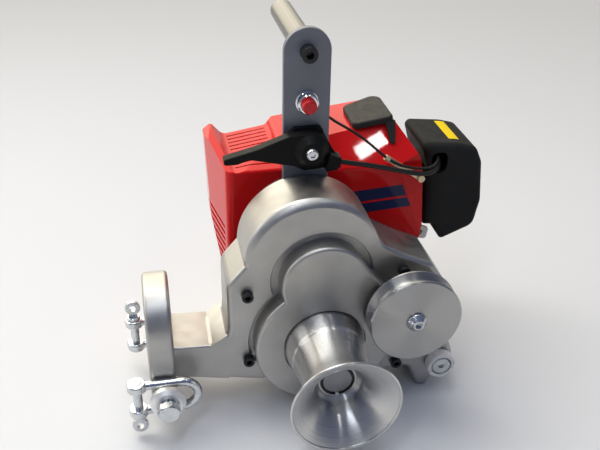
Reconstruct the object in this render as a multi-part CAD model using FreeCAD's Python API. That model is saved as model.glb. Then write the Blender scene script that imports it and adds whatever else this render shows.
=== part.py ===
import FreeCAD, Part
import math
import os

# Petrol capstan winch, millimetres. The model is drawn with the capstan axis along Y through
# x = 0, z = 0 and the gear housing's front face at y = 0, +Y towards the engine, +Z up.
# Every solid is moved to the row frame, the bottom centre of the whole, when it is written.
origin_x = 2.325
origin_y = 63.635
floor_z = -72.0

# gear train: output axis at the capstan, input axis on the crank, intermediate axis beside them
crank_x = -9.0
crank_z = 78.0
out_module = 2.0
out_teeth = 50
out_pinion_teeth = 12
in_module = 1.25
in_teeth = 56
in_pinion_teeth = 13
pressure_angle = 25.0
backlash = 0.22

# gear housing
flange_y = 13.0
parting_y = 55.0
gasket_t = 0.4
plate_y = 61.0
boss_r = 60.5
upper_boss_x = -1.0
upper_boss_z = 61.5
upper_boss_r = 37.0
crown_r = 58.0
wall_t = 5.0
groove_w = 7.0
lower_groove_w = 4.0
groove_d = 4.5
flange_edge_r = 4.2
boss_edge_r = 3.0
groove_rim_r = 0.8
crown_soft = 9.0
crown_fade = 5.0
crown_fade_angle = 112.0
lobe_bend_x = 48.0
lobe_bend_z = 89.5
lobe_bend_r = 24.0
screw_spots = [(-65.4, 52.2), (-65.2, -16.2), (70.0, 62.0), (70.0, -38.0)]
screw_r = 3.0
screw_post_r = 8.5
bell_bolt_r = 45.0
bell_flange_r = 48.0

# capstan
hole_r = 36.5
drum_base_r = 35.0
drum_shoulder_r = 32.5
drum_waist_r = 29.0
drum_mouth_r = 45.5
drum_shoulder_y = -18.0
drum_waist_y = -44.0
drum_mouth_y = -78.5
drum_lip_t = 2.4
drum_cup_r = 26.3
drum_cup_y = -64.3
drum_seat_r = 19.6
drum_seat_y = -49.8
drum_floor_r = 16.0
drum_floor_y = -46.0
shaft_r = 13.0
journal_r = 15.0
tail_r = 10.0

# rope pulley and guide roller
pulley_x = 73.0
pulley_z = 32.2
pulley_r = 40.0
pulley_front_y = -22.5
pulley_t = 18.0
pulley_bearing_r = 13.0
pulley_bolt_r = 5.0
roller_x = 112.0
roller_z = -43.0
roller_r = 13.0
roller_bolt_r = 4.0

# anchor arm and shackles
anchor_x0 = -151.0
anchor_x1 = -129.0
anchor_mid_y = 40.0
anchor_r = 40.0
anchor_crown_z = 19.0
anchor_low_z = -46.0
anchor_edge_r = 3.5
anchor_bolt_r = 5.0
arm_y1 = 63.0
neck_x = -137.5
neck_z = -30.5
neck_r = 8.0
neck_l = 10.0
collar_r = 15.0
collar_t = 9.0
stock_r = 4.0
shackle_gap = 18.5
shackle_pin_r = 4.0
shackle_pin_x = -162.5
shackle_bow_x = -125.1

# handle strap
strap_x = -7.5
strap_w = 38.4
strap_t = 6.0
strap_low_z = 121.6
tube_z = 242.4
tube_r = 10.0
tube_l = 112.0
switch_z = 201.0
lever_x = strap_x + 1
lever_z = 164.0
lever_pin_r = 3.0
strap_screw_z = 129.5
strap_screw_xs = (strap_x - 11, strap_x + 11)

# engine
cylinder_tilt = 45.0
cylinder_y = 136.0
shroud_y0 = 80.0
shroud_y1 = 165.0
shroud_t = 2.5
cover_y0 = 100.0
cover_y1 = 160.0
flywheel_r = 38.0
starter_r = 47.0
tank_top = -8.0

os.makedirs("parts", exist_ok=True)
V = FreeCAD.Vector
along_x = V(1, 0, 0)
along_y = V(0, 1, 0)
along_z = V(0, 0, 1)


def loop(points, place):
    """Closed wire of straight runs through (a, b, r), each corner rounded by its radius r."""
    starts = []
    ends = []
    arcs = []
    for i, (a, b, r) in enumerate(points):
        here = V(a, b, 0)
        before = points[i - 1]
        after = points[(i + 1) % len(points)]
        back = (V(before[0], before[1], 0) - here).normalize()
        on = (V(after[0], after[1], 0) - here).normalize()
        half = back.getAngle(on) / 2
        cut = r / math.tan(half)
        bisector = (back + on).normalize()
        starts.append(here + back * cut)
        ends.append(here + on * cut)
        arcs.append(here + bisector * (r / math.sin(half) - r) if r > 0 else None)
    edges = []
    for i in range(len(points)):
        if arcs[i] is not None:
            trio = [place(p.x, p.y) for p in (starts[i], arcs[i], ends[i])]
            edges.append(Part.Arc(*trio).toShape())
        p = ends[i]
        q = starts[(i + 1) % len(points)]
        if (p - q).Length > 1e-6:
            edges.append(Part.LineSegment(place(p.x, p.y), place(q.x, q.y)).toShape())
    return Part.Wire(edges)


def slab_y(points, y0, y1):
    face = Part.Face(loop(points, lambda a, b: V(a, y0, b)))
    return face.extrude(V(0, y1 - y0, 0))


def slab_x(points, x0, x1):
    face = Part.Face(loop(points, lambda a, b: V(x0, a, b)))
    return face.extrude(V(x1 - x0, 0, 0))


def slab_z(points, z0, z1):
    face = Part.Face(loop(points, lambda a, b: V(a, b, z0)))
    return face.extrude(V(0, 0, z1 - z0))


def cyl(x, z, y0, y1, r):
    return Part.makeCylinder(r, y1 - y0, V(x, y0, z), along_y)


def ring(x, z, y0, y1, outer, inner):
    return cyl(x, z, y0, y1, outer).cut(cyl(x, z, y0 - 1, y1 + 1, inner))


def rod(start, end, r):
    run = end - start
    return Part.makeCylinder(r, run.Length, start, run)


def block(x0, x1, y0, y1, z0, z1):
    return Part.makeBox(x1 - x0, y1 - y0, z1 - z0, V(x0, y0, z0))


def turned(x, z, profile):
    """Solid of revolution about the Y line through (x, z) from (radius, y, corner) points."""
    face = Part.Face(loop(profile, lambda r, y: V(x + r, y, z)))
    return face.revolve(V(x, 0, z), along_y, 360)


def hexagon(x, z, y0, y1, across, turn=0.0):
    r = across / math.sqrt(3)
    corners = []
    for i in range(6):
        angle = math.radians(60 * i + turn)
        corners.append((x + r * math.cos(angle), z + r * math.sin(angle), 0))
    return slab_y(corners, y0, y1)


def merged(solids):
    return solids[0].multiFuse(solids[1:]).removeSplitter()


def rounded(solid, radius, wanted):
    """Fillet of the edges that the test named by wanted picks by their middle point."""
    edges = []
    for edge in solid.Edges:
        middle = edge.valueAt((edge.FirstParameter + edge.LastParameter) / 2)
        if wanted(edge, middle):
            edges.append(edge)
    return solid.makeFillet(radius, edges)


def cap_screw(x, z, y_head, y_seat, y_end, head_r, shank_r, key, way=1.0):
    """Socket head screw: head from y_head to y_seat, shank on to y_end, key socket in the head."""
    lo, hi = sorted((y_head, y_seat))
    head = cyl(x, z, lo, hi, head_r)
    head = rounded(head, 0.6, lambda e, m: abs(m.y - y_head) < 0.01 and len(e.Vertexes) == 1)
    lo, hi = sorted((y_seat, y_end))
    body = head.fuse(cyl(x, z, lo, hi, shank_r)).removeSplitter()
    deep = y_head + way * (abs(y_seat - y_head) * 0.55)
    lo, hi = sorted((y_head - way, deep))
    return body.cut(hexagon(x, z, lo, hi, key))


def gear_wheel(x, z, y0, y1, module, teeth, tooth_angle, bore):
    """Spur gear with involute flanks, one tooth centred on tooth_angle (degrees, from +X to +Z)."""
    pitch = module * teeth / 2
    base = pitch * math.cos(math.radians(pressure_angle))
    tip = pitch + module
    root = pitch - 1.2 * module
    low = max(base, root + 0.15 * module)

    def spread(r):
        turn = math.acos(min(1.0, base / r))
        return math.tan(turn) - turn

    half = (math.pi * module / 2 - backlash / 2) / (2 * pitch) + spread(pitch)
    flank = [(root, half - spread(low))]
    steps = 4
    for i in range(steps + 1):
        r = low + (tip - low) * i / steps
        flank.append((r, half - spread(r)))
    points = []
    for tooth in range(teeth):
        middle = math.radians(tooth_angle) + 2 * math.pi * tooth / teeth
        for r, a in flank:
            points.append((x + r * math.cos(middle - a), z + r * math.sin(middle - a), 0))
        for r, a in reversed(flank):
            points.append((x + r * math.cos(middle + a), z + r * math.sin(middle + a), 0))
    wheel = slab_y(points, y0, y1)
    return wheel.cut(cyl(x, z, y0 - 1, y1 + 1, bore)) if bore else wheel


def pipe_run(points, r):
    """Round cord along points, corners rounded by arcs of 0.45 of the shorter run at each corner."""
    edges = []
    radii = []
    last = points[0]
    for i in range(1, len(points) - 1):
        back = points[i - 1] - points[i]
        on = points[i + 1] - points[i]
        shorter = min(back.Length, on.Length)
        turn = math.pi - back.getAngle(on)
        cut = 0.45 * shorter
        radius = cut / math.tan(turn / 2)
        u = V(back).normalize()
        w = V(on).normalize()
        start = points[i] + u * cut
        end = points[i] + w * cut
        bisector = (u + w).normalize()
        middle = points[i] + bisector * (radius / math.cos(turn / 2) - radius)
        edges.append(Part.LineSegment(last, start).toShape())
        edges.append(Part.Arc(start, middle, end).toShape())
        radii.append(radius)
        last = end
    edges.append(Part.LineSegment(last, points[-1]).toShape())
    path = Part.Wire(edges)
    section = Part.Wire(Part.makeCircle(r, points[0], points[1] - points[0]))
    solid = path.makePipeShell([section], True, False)
    ideal = math.pi * r * r * path.Length
    print("cord", round(path.Length, 1), "mm long, radii", [round(v, 1) for v in radii],
          "volume ratio", round(solid.Volume / ideal, 4))
    return solid


# gear centres from their centre distances
out_distance = out_module * (out_teeth + out_pinion_teeth) / 2
in_distance = in_module * (in_teeth + in_pinion_teeth) / 2
crank_distance = math.hypot(crank_x, crank_z)
foot_point = (out_distance ** 2 - in_distance ** 2 + crank_distance ** 2) / (2 * crank_distance)
side_step = math.sqrt(out_distance ** 2 - foot_point ** 2)
unit_x = crank_x / crank_distance
unit_z = crank_z / crank_distance
mid_x = foot_point * unit_x + side_step * unit_z
mid_z = foot_point * unit_z - side_step * unit_x

# planes of the gear train
out_gear_y = (26.0, 40.0)
out_pinion_y = (25.5, 40.5)
in_gear_y = (44.0, 52.0)
in_pinion_y = (43.5, 52.5)
drum_bearing_y = (10.0, 22.0)
tail_bearing_y = (46.0, 57.0)
mid_front_bearing_y = (9.0, 17.0)
mid_rear_bearing_y = (54.2, 60.0)
in_front_bearing_y = (31.0, 39.0)
in_rear_bearing_y = (55.5, 65.0)
run_gap = 0.05
gear_room_r = in_module * (in_teeth / 2 + 1) + 0.8
seal_y = (4.0, 9.5)
seal_r = 30.0
drum_bearing_r = 26.0
tail_bearing_r = 21.0
mid_bearing_r = 11.0
mid_journal_r = 5.0
in_front_bearing_r = 13.0
in_front_journal_r = 6.0
in_rear_bearing_r = 16.0
in_rear_journal_r = 7.5

# outlines of the gear housing seen from the front, as (x, z, corner radius)
column = [(-40, 108, 0), (-63, 84, 6), (-82, 62, 16), (-82, 12, 10), (-97, 2.5, 8),
          (-100, 2.5, 0), (-100, -33.5, 0), (-51.5, -43, 0), (0, 0, 0)]
arm = [(-140, 4.5, 0), (-97, 2.5, 0), (-83, 12, 0), (-83, -36.8, 0), (-140, -25.6, 0)]
lobe = [(10, 60, 0), (30, 100, 0), (72, 75.5, 20), (97, 64, 12), (115, 36, 14), (116, -8, 20),
        (127, -40, 14), (118, -59, 10), (108, -60, 5), (103, -74, 4), (93, -72, 6), (83, -47, 7),
        (45, -48, 0), (20, 0, 0)]
lobe_core = [(25, 92, 4), (45, 84, 4), (70, 70, 12), (94, 58.5, 8), (109.5, 34, 10),
             (110.5, -8, 14), (104, -36, 8), (60, -40, 6), (20, 0, 4)]
boss_side = [(-1, 98.4, 0), (27, 85.2, 3), (47, 58.5, 4), (60, 44, 8), (88, 46, 14), (94, 20, 14),
             (58, -16, 6), (0, 0, 0)]


def crown_softener():
    """Ring cutter: rounds the crown's front edge most at crown_fade_angle and runs out to both sides."""
    angle = math.radians(crown_fade_angle)
    x = crank_x - crown_fade * math.cos(angle)
    z = crank_z - crown_fade * math.sin(angle)
    r = crown_r + crown_fade
    start = V(x + r - crown_soft - 1.5, flange_y - 0.5, z)
    bend = V(x + r - crown_soft * 0.29, flange_y + crown_soft * 0.29, z)
    end = V(x + r + 0.5, flange_y + crown_soft + 1.5, z)
    corners = [end, V(x + r + 9, end.y, z), V(x + r + 9, flange_y - 4, z), V(start.x, flange_y - 4, z), start]
    edges = [Part.Arc(start, bend, end).toShape()]
    edges += [Part.makeLine(a, b) for a, b in zip(corners, corners[1:])]
    return Part.Face(Part.Wire(edges)).revolve(V(x, 0, z), along_y, 360)


def below_floor():
    """Everything under the floor plane."""
    return block(-300, 300, -10, 200, floor_z - 20, floor_z)


def gear_housing():
    """Front casting: boss, flange, anchor arm and arched anchor plate in one piece."""
    flange = merged([cyl(crank_x, crank_z, flange_y, parting_y, crown_r),
                     slab_y(column, flange_y, parting_y), slab_y(lobe, flange_y, parting_y),
                     cyl(0, 0, flange_y, parting_y, boss_r)])
    flange = rounded(flange, lobe_bend_r,
                     lambda e, m: abs(m.x - lobe_bend_x) < 2.5 and abs(m.z - lobe_bend_z) < 2.5)
    flange = rounded(flange, flange_edge_r, lambda e, m: abs(m.y - flange_y) < 0.01 and m.z > -55)
    flange = flange.cut(crown_softener().common(block(-70, 46, 0, 40, 84, 150)))
    gutter = merged([cyl(upper_boss_x, upper_boss_z, flange_y - 1, flange_y + groove_d,
                         upper_boss_r + groove_w),
                     cyl(0, 0, flange_y - 1, flange_y + groove_d, boss_r + lower_groove_w)])
    gutter = gutter.common(block(-80, 45, 0, 40, -20, 120))
    boss = merged([cyl(upper_boss_x, upper_boss_z, 0, flange_y + 8, upper_boss_r),
                   cyl(0, 0, 0, flange_y + 8, boss_r), slab_y(boss_side, 0, flange_y + 8)])
    boss = rounded(boss, boss_edge_r, lambda e, m: abs(m.y) < 0.01)

    def on_rim(edge, m):
        upper = math.hypot(m.x - upper_boss_x, m.z - upper_boss_z) - upper_boss_r - groove_w
        lower = math.hypot(m.x, m.z) - boss_r - lower_groove_w
        return abs(m.y - flange_y) < 0.01 and min(abs(upper), abs(lower)) < 0.05

    shell = rounded(flange.cut(gutter), groove_rim_r, on_rim).fuse(boss)
    core = merged([cyl(0, 0, 8, parting_y + 1, boss_r - wall_t),
                   cyl(upper_boss_x, upper_boss_z, 6, parting_y + 1, upper_boss_r - wall_t),
                   cyl(crank_x, crank_z, flange_y + groove_d + 4, parting_y + 1, crown_r - wall_t),
                   slab_y(lobe_core, flange_y + 9, parting_y + 1)])
    posts = [cyl(x, z, flange_y + 2, parting_y, screw_post_r) for x, z in screw_spots]
    posts.append(cyl(0, 0, 6, 23, drum_bearing_r + 5))
    posts.append(cyl(mid_x, mid_z, 4, 18, mid_bearing_r + 4))
    posts.append(cyl(crank_x, crank_z, flange_y + 6, 40, in_front_bearing_r + 4.5))
    posts.append(cyl(pulley_x, pulley_z, 2, 34, 12))
    gear_room = cyl(mid_x, mid_z, in_gear_y[0] - 1.5, parting_y + 1, gear_room_r)
    shell = shell.cut(core.cut(merged(posts))).cut(gear_room)
    plate = Part.makeCylinder(anchor_r, anchor_x1 - anchor_x0,
                              V(anchor_x0, anchor_mid_y, anchor_crown_z), along_x)
    plate = plate.fuse(block(anchor_x0, anchor_x1, anchor_mid_y - anchor_r, anchor_mid_y + anchor_r,
                             anchor_low_z, anchor_crown_z)).removeSplitter()
    plate = rounded(plate, anchor_edge_r, lambda e, m: True)
    limb = slab_y(arm, flange_y, arm_y1)
    limb = rounded(limb, 2.0, lambda e, m: abs(m.y - flange_y) < 0.01 and -133 < m.x < -90)
    pad = block(-36, -12, 42, parting_y, floor_z, -44)
    toe = slab_y([(93.5, -60, 0), (104, -60, 0), (104, floor_z, 1.5), (94, floor_z, 1.5)], 16, parting_y)
    shell = merged([shell, limb, plate, pad, toe])
    holes = [cyl(x, z, 0, parting_y + 1, screw_r + 0.2) for x, z in screw_spots]
    holes.append(cyl(0, 0, -1, seal_y[0], hole_r))
    holes.append(cyl(0, 0, seal_y[0] - 1, seal_y[1], seal_r))
    holes.append(cyl(0, 0, seal_y[1] - 1, 24, drum_bearing_r))
    holes.append(cyl(mid_x, mid_z, mid_front_bearing_y[0], 25, mid_bearing_r))
    holes.append(cyl(crank_x, crank_z, in_front_bearing_y[0], 41, in_front_bearing_r))
    holes.append(cyl(pulley_x, pulley_z, -1, 26, pulley_bolt_r))
    holes.append(cyl(roller_x, roller_z, 0, 34, roller_bolt_r))
    holes.append(cyl(neck_x, neck_z, -1, 20, anchor_bolt_r))
    holes.append(cyl(neck_x, neck_z, 60, 81, anchor_bolt_r))
    return shell.cut(merged(holes)).cut(below_floor())


def plate_outline(y0, y1):
    return merged([cyl(crank_x, crank_z, y0, y1, crown_r), cyl(0, 0, y0, y1, boss_r),
                   slab_y(column, y0, y1).common(block(-82.4, 10, y0, y1, -60, 120)),
                   slab_y(lobe, y0, y1)])


def clutch_housing():
    """Rear wall of the gear housing with the bearing seats and the clutch bell behind it."""
    y0 = parting_y + gasket_t
    wall = plate_outline(y0, plate_y)
    hubs = [cyl(0, 0, 43, plate_y + 1, tail_bearing_r + 3.3),
            cyl(crank_x, crank_z, y0, 66, in_rear_bearing_r + 3.5),
            ring(crank_x, crank_z, y0, 88, 42, 38.5), ring(crank_x, crank_z, 84, 88, bell_flange_r, 38.5)]
    body = merged([wall] + hubs)
    holes = [cyl(x, z, y0 - 1, plate_y + 1, screw_r) for x, z in screw_spots]
    holes += [cyl(x, strap_screw_z, 56.5, plate_y + 1, screw_r) for x in strap_screw_xs]
    holes.append(cyl(0, 0, 42, tail_bearing_y[1], tail_bearing_r))
    holes.append(cyl(mid_x, mid_z, y0 - 2, mid_rear_bearing_y[1], mid_bearing_r))
    holes.append(cyl(crank_x, crank_z, y0 - 2, 67, in_rear_bearing_r))
    holes += [cyl(x, z, 83, 89, 2.0) for x, z in bell_spots()]
    return body.cut(merged(holes)).cut(below_floor())


def bell_spots():
    spots = []
    for i in range(4):
        angle = math.radians(45 + 90 * i)
        spots.append((crank_x + bell_bolt_r * math.cos(angle), crank_z + bell_bolt_r * math.sin(angle)))
    return spots


def housing_gasket():
    sheet = plate_outline(parting_y, parting_y + gasket_t)
    open_part = merged([cyl(0, 0, 50, 60, boss_r - wall_t), cyl(crank_x, crank_z, 50, 60, crown_r - wall_t),
                        slab_y(lobe_core, 50, 60)])
    posts = merged([cyl(x, z, 50, 60, screw_post_r) for x, z in screw_spots])
    sheet = sheet.cut(open_part.cut(posts)).cut(cyl(mid_x, mid_z, 50, 60, gear_room_r))
    sheet = sheet.cut(merged([cyl(x, z, 50, 60, screw_r + 0.2) for x, z in screw_spots]))
    return sheet.cut(below_floor())


def housing_screws():
    return Part.Compound([cap_screw(x, z, flange_y - 6, flange_y, plate_y - 1, 5.0, screw_r - 0.05, 5.0)
                          for x, z in screw_spots])


def bearing(x, z, span, outer, journal):
    """Ball bearing as one ring with the gap between its races turned into both sides."""
    body = ring(x, z, span[0], span[1], outer, journal + run_gap)
    mean = (outer + journal) / 2
    width = (outer - journal) * 0.22
    for y0, y1 in ((span[0] - 1, span[0] + 0.8), (span[1] - 0.8, span[1] + 1)):
        body = body.cut(ring(x, z, y0, y1, mean + width, mean - width))
    return body


def shaft_bearings():
    return Part.Compound([bearing(0, 0, drum_bearing_y, drum_bearing_r, journal_r),
                          bearing(0, 0, tail_bearing_y, tail_bearing_r, tail_r),
                          bearing(mid_x, mid_z, mid_front_bearing_y, mid_bearing_r, mid_journal_r),
                          bearing(mid_x, mid_z, mid_rear_bearing_y, mid_bearing_r, mid_journal_r),
                          bearing(crank_x, crank_z, in_front_bearing_y,
                                  in_front_bearing_r, in_front_journal_r),
                          bearing(crank_x, crank_z, in_rear_bearing_y,
                                  in_rear_bearing_r, in_rear_journal_r)])


def capstan_seal():
    return ring(0, 0, seal_y[0], seal_y[1] - 0.2, seal_r, journal_r + run_gap)


def capstan_drum():
    """Polished drum: tapered root, waist for the rope and a flared, hollow mouth."""
    def at(r, y):
        return V(r, y, 0)
    flare = ((drum_mouth_r - drum_waist_r) ** 2 + (drum_mouth_y - drum_waist_y) ** 2) / (
        2 * (drum_mouth_r - drum_waist_r))
    mid_y = (drum_waist_y + drum_mouth_y) / 2 - 3
    flare_mid = drum_waist_r + flare - math.sqrt(flare ** 2 - (mid_y - drum_waist_y) ** 2)
    neck_mid = (drum_shoulder_r - 0.8 + drum_waist_r) / 2 - 0.6
    base = at(drum_base_r, 3)
    step = at(drum_base_r - 0.3, -2)
    shoulder = at(drum_shoulder_r, drum_shoulder_y)
    below = at(drum_shoulder_r - 0.8, drum_shoulder_y - 1)
    waist = at(drum_waist_r, drum_waist_y)
    mouth = at(drum_mouth_r, drum_mouth_y)
    lip = at(drum_mouth_r - drum_lip_t / 2, drum_mouth_y - drum_lip_t / 2)
    inner = at(drum_mouth_r - drum_lip_t, drum_mouth_y)
    cup = at(drum_cup_r, drum_cup_y)
    seat = at(drum_seat_r, drum_seat_y)
    floor = at(drum_floor_r, drum_floor_y)
    edges = [Part.LineSegment(at(shaft_r, 3), base),
             Part.LineSegment(base, step),
             Part.LineSegment(step, shoulder),
             Part.LineSegment(shoulder, below),
             Part.Arc(below, at(neck_mid, (drum_shoulder_y + drum_waist_y) / 2), waist),
             Part.Arc(waist, at(flare_mid, mid_y), mouth),
             Part.Arc(mouth, lip, inner),
             Part.Arc(inner, cup, seat),
             Part.LineSegment(seat, floor),
             Part.LineSegment(floor, at(shaft_r, drum_floor_y)),
             Part.LineSegment(at(shaft_r, drum_floor_y), at(shaft_r, 3))]
    face = Part.Face(Part.Wire([e.toShape() for e in edges]))
    return face.revolve(V(0, 0, 0), along_y, 360)


def capstan_shaft():
    steps = [(0, -46.6, 0), (shaft_r - 1, -46.6, 0), (shaft_r - 0.2, -45.8, 0), (shaft_r - 0.2, -44.6, 0),
             (shaft_r - 1.2, -44.6, 0), (shaft_r - 1.2, -43.4, 0), (shaft_r, -43.4, 0), (shaft_r, 3, 0),
             (journal_r, 3, 0), (journal_r, 40, 0), (17, 40, 0), (17, 43, 0), (tail_r, 43, 0),
             (tail_r, 56, 0), (0, 56, 0)]
    return turned(0, 0, steps)


def drum_circlip():
    clip = ring(0, 0, -47.4, -46.05, 14.4, shaft_r + 0.1)
    return clip.cut(block(-1.5, 1.5, -50, -40, -20, -8))


def output_gear():
    mesh = math.degrees(math.atan2(mid_z, mid_x))
    wheel = gear_wheel(0, 0, out_gear_y[0], out_gear_y[1], out_module, out_teeth, mesh, journal_r)
    for i in range(5):
        angle = math.radians(72 * i)
        spot = (32 * math.cos(angle), 32 * math.sin(angle))
        wheel = wheel.cut(cyl(spot[0], spot[1], 20, 50, 7.5))
    return wheel


def intermediate_shaft():
    mesh = math.degrees(math.atan2(mid_z, mid_x)) + 180 + 180 / out_pinion_teeth
    pinion = gear_wheel(mid_x, mid_z, out_pinion_y[0], out_pinion_y[1], out_module, out_pinion_teeth, mesh, 0)
    core = turned(mid_x, mid_z, [(0, 9.4, 0), (mid_journal_r, 9.4, 0), (mid_journal_r, 18.6, 0),
                                 (9, 18.6, 0), (9, 53.4, 0), (mid_journal_r, 53.4, 0),
                                 (mid_journal_r, 59.6, 0), (0, 59.6, 0)])
    return core.fuse(pinion).removeSplitter()


def intermediate_gear():
    mesh = math.degrees(math.atan2(crank_z - mid_z, crank_x - mid_x))
    return gear_wheel(mid_x, mid_z, in_gear_y[0], in_gear_y[1], in_module, in_teeth, mesh, 9.0)


def clutch_drum():
    """Clutch drum with its shaft and the input pinion."""
    mesh = math.degrees(math.atan2(mid_z - crank_z, mid_x - crank_x)) + 180 / in_pinion_teeth
    pinion = gear_wheel(crank_x, crank_z, in_pinion_y[0], in_pinion_y[1], in_module, in_pinion_teeth, mesh, 0)
    stem = turned(crank_x, crank_z, [(0, 31.5, 0), (in_front_journal_r, 31.5, 0), (in_front_journal_r, 54, 0),
                                     (in_rear_journal_r, 54, 0), (in_rear_journal_r, 67.5, 0), (36, 67.5, 2),
                                     (36, 83, 0), (33, 83, 0), (33, 70.5, 1), (0, 70.5, 0)])
    return stem.fuse(pinion).removeSplitter()


def rope_pulley():
    """Guide pulley with a turned groove in its rim."""
    y0 = pulley_front_y
    y1 = y0 + pulley_t
    rim = [(pulley_bearing_r, y0 + 5, 0), (pulley_bearing_r, y1, 0), (pulley_r - 1, y1, 0),
           (pulley_r, y1 - 1, 0), (pulley_r, y1 - 2.4, 0), (pulley_r - 6.5, y1 - 6.2, 2.5),
           (pulley_r - 6.5, y0 + 6.2, 2.5), (pulley_r, y0 + 2.4, 0), (pulley_r, y0 + 1, 0),
           (pulley_r - 1, y0, 0), (6.5, y0, 0), (6.5, y0 + 5, 0)]
    return turned(pulley_x, pulley_z, rim)


def pulley_bearing():
    span = (pulley_front_y + 5, pulley_front_y + pulley_t - 0.5)
    return bearing(pulley_x, pulley_z, span, pulley_bearing_r, pulley_bolt_r)


def pulley_bolt():
    """Button head bolt that carries the pulley."""
    y = pulley_front_y - 0.4
    head = turned(pulley_x, pulley_z, [(0, y - 5.5, 0), (4.5, y - 5.5, 2), (8.75, y - 1.2, 2), (8.75, y, 0),
                                       (pulley_bolt_r, y, 0), (pulley_bolt_r, 25, 0), (0, 25, 0)])
    return head.cut(hexagon(pulley_x, pulley_z, y - 6, y - 2.5, 6.0))


def pulley_spacer():
    return ring(pulley_x, pulley_z, pulley_front_y + pulley_t + 0.3, 0, 9.0, pulley_bolt_r)


def rope_roller():
    bore = roller_bolt_r + 0.06
    return turned(roller_x, roller_z, [(bore, 7.2, 0), (9.6, 7.2, 0), (9.6, 2.6, 0), (10, 2.2, 0),
                                       (roller_r - 1, 2.2, 0), (roller_r, 3.2, 0), (roller_r, 11.6, 0),
                                       (roller_r - 1, 12.6, 0), (bore, 12.6, 0)])


def roller_screw():
    head = turned(roller_x, roller_z, [(0, 2.8, 0), (8, 2.8, 0), (8.5, 3.3, 0), (8.5, 4.2, 0), (6, 7.0, 0),
                                       (roller_bolt_r, 7.0, 0), (roller_bolt_r, 33, 0), (0, 33, 0)])
    return head.cut(hexagon(roller_x, roller_z, 2, 5, 5.0))


def both_ends(front):
    """A piece at the anchor's front end and its mirror image at the rear end."""
    return Part.Compound([front, front.mirror(V(0, anchor_mid_y, 0), along_y)])


def anchor_spools():
    low = -neck_l - collar_t
    bore = anchor_bolt_r + 0.1
    steps = [(bore, 0, 0), (neck_r, 0, 0), (neck_r, -neck_l, 0), (collar_r - 1.5, -neck_l, 0),
             (collar_r, -neck_l - 1.5, 0), (collar_r, low + 3, 0), (collar_r - 3, low, 0), (bore, low, 0)]
    return both_ends(turned(neck_x, neck_z, steps))


def anchor_washers():
    low = -neck_l - collar_t
    flat = ring(neck_x, neck_z, low - 2, low, 10.0, anchor_bolt_r + 0.2)
    split = ring(neck_x, neck_z, low - 4.4, low - 2, 8.6, anchor_bolt_r + 0.2)
    split = split.cut(block(neck_x - 0.6, neck_x + 0.6, low - 5, low - 1.8, neck_z + 4, neck_z + 10))
    return Part.Compound(both_ends(flat).Solids + both_ends(split).Solids)


def anchor_bolts():
    seat = -neck_l - collar_t - 4.4
    head = hexagon(neck_x, neck_z, seat - 6.4, seat, 17.0, 12)
    cone = turned(neck_x, neck_z, [(0, seat - 6.4, 0), (8.3, seat - 6.4, 0), (10.6, seat - 5.0, 0),
                                   (10.6, seat, 0), (0, seat, 0)])
    bolt = head.common(cone).fuse(cyl(neck_x, neck_z, seat, 18, anchor_bolt_r - 0.02)).removeSplitter()
    return both_ends(bolt)


def shackle(y):
    """D shackle of round bar in the XZ plane, its two eyes bored for an upright pin."""
    reach = shackle_gap / 2 + stock_r
    top = neck_z + reach
    low = neck_z - reach
    path = Part.Wire([Part.LineSegment(V(shackle_pin_x + 5, y, top), V(shackle_bow_x, y, top)).toShape(),
                      Part.Arc(V(shackle_bow_x, y, top), V(shackle_bow_x + reach, y, neck_z),
                               V(shackle_bow_x, y, low)).toShape(),
                      Part.LineSegment(V(shackle_bow_x, y, low), V(shackle_pin_x + 5, y, low)).toShape()])
    section = Part.Wire(Part.makeCircle(stock_r, V(shackle_pin_x + 5, y, top), along_x))
    bow = path.makePipeShell([section], True, False)
    eyes = []
    for z in (top, low):
        eye = Part.makeCylinder(8.2, 2 * stock_r, V(shackle_pin_x, y, z - stock_r), along_z)
        eyes.append(eye.makeFillet(1.6, [e for e in eye.Edges if len(e.Vertexes) == 1]))
    bore = Part.makeCylinder(shackle_pin_r + 0.06, 60, V(shackle_pin_x, y, neck_z - 30), along_z)
    return merged([bow] + eyes).cut(bore)


def shackle_pin(y, side):
    """Screw pin: plain shank, shoulder and a flat eye; side +1 puts the eye on top, -1 below."""
    reach = shackle_gap / 2 + 2 * stock_r
    foot = V(shackle_pin_x, y, neck_z - reach - 0.7)
    shank = Part.makeCylinder(shackle_pin_r, 2 * reach + 1.0, foot, along_z)
    shank = shank.makeFillet(0.6, [e for e in shank.Edges if len(e.Vertexes) == 1])
    base = neck_z + side * (reach + 0.3)
    shoulder = Part.makeCylinder(6.2, 3.0, V(shackle_pin_x, y, base), along_z * side)
    shoulder = shoulder.makeFillet(0.8, [e for e in shoulder.Edges if len(e.Vertexes) == 1])
    far = base + side * 12.0
    eye = cyl(shackle_pin_x, far, y - 2, y + 2, 7.0)
    eye = eye.makeFillet(0.8, [e for e in eye.Edges if len(e.Vertexes) == 1])
    stem = block(shackle_pin_x - 4, shackle_pin_x + 4, y - 2, y + 2, min(base, far), max(base, far))
    tab = eye.fuse(stem).cut(cyl(shackle_pin_x, far, y - 4, y + 4, 3.2))
    return merged([shank, shoulder, tab])


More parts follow.
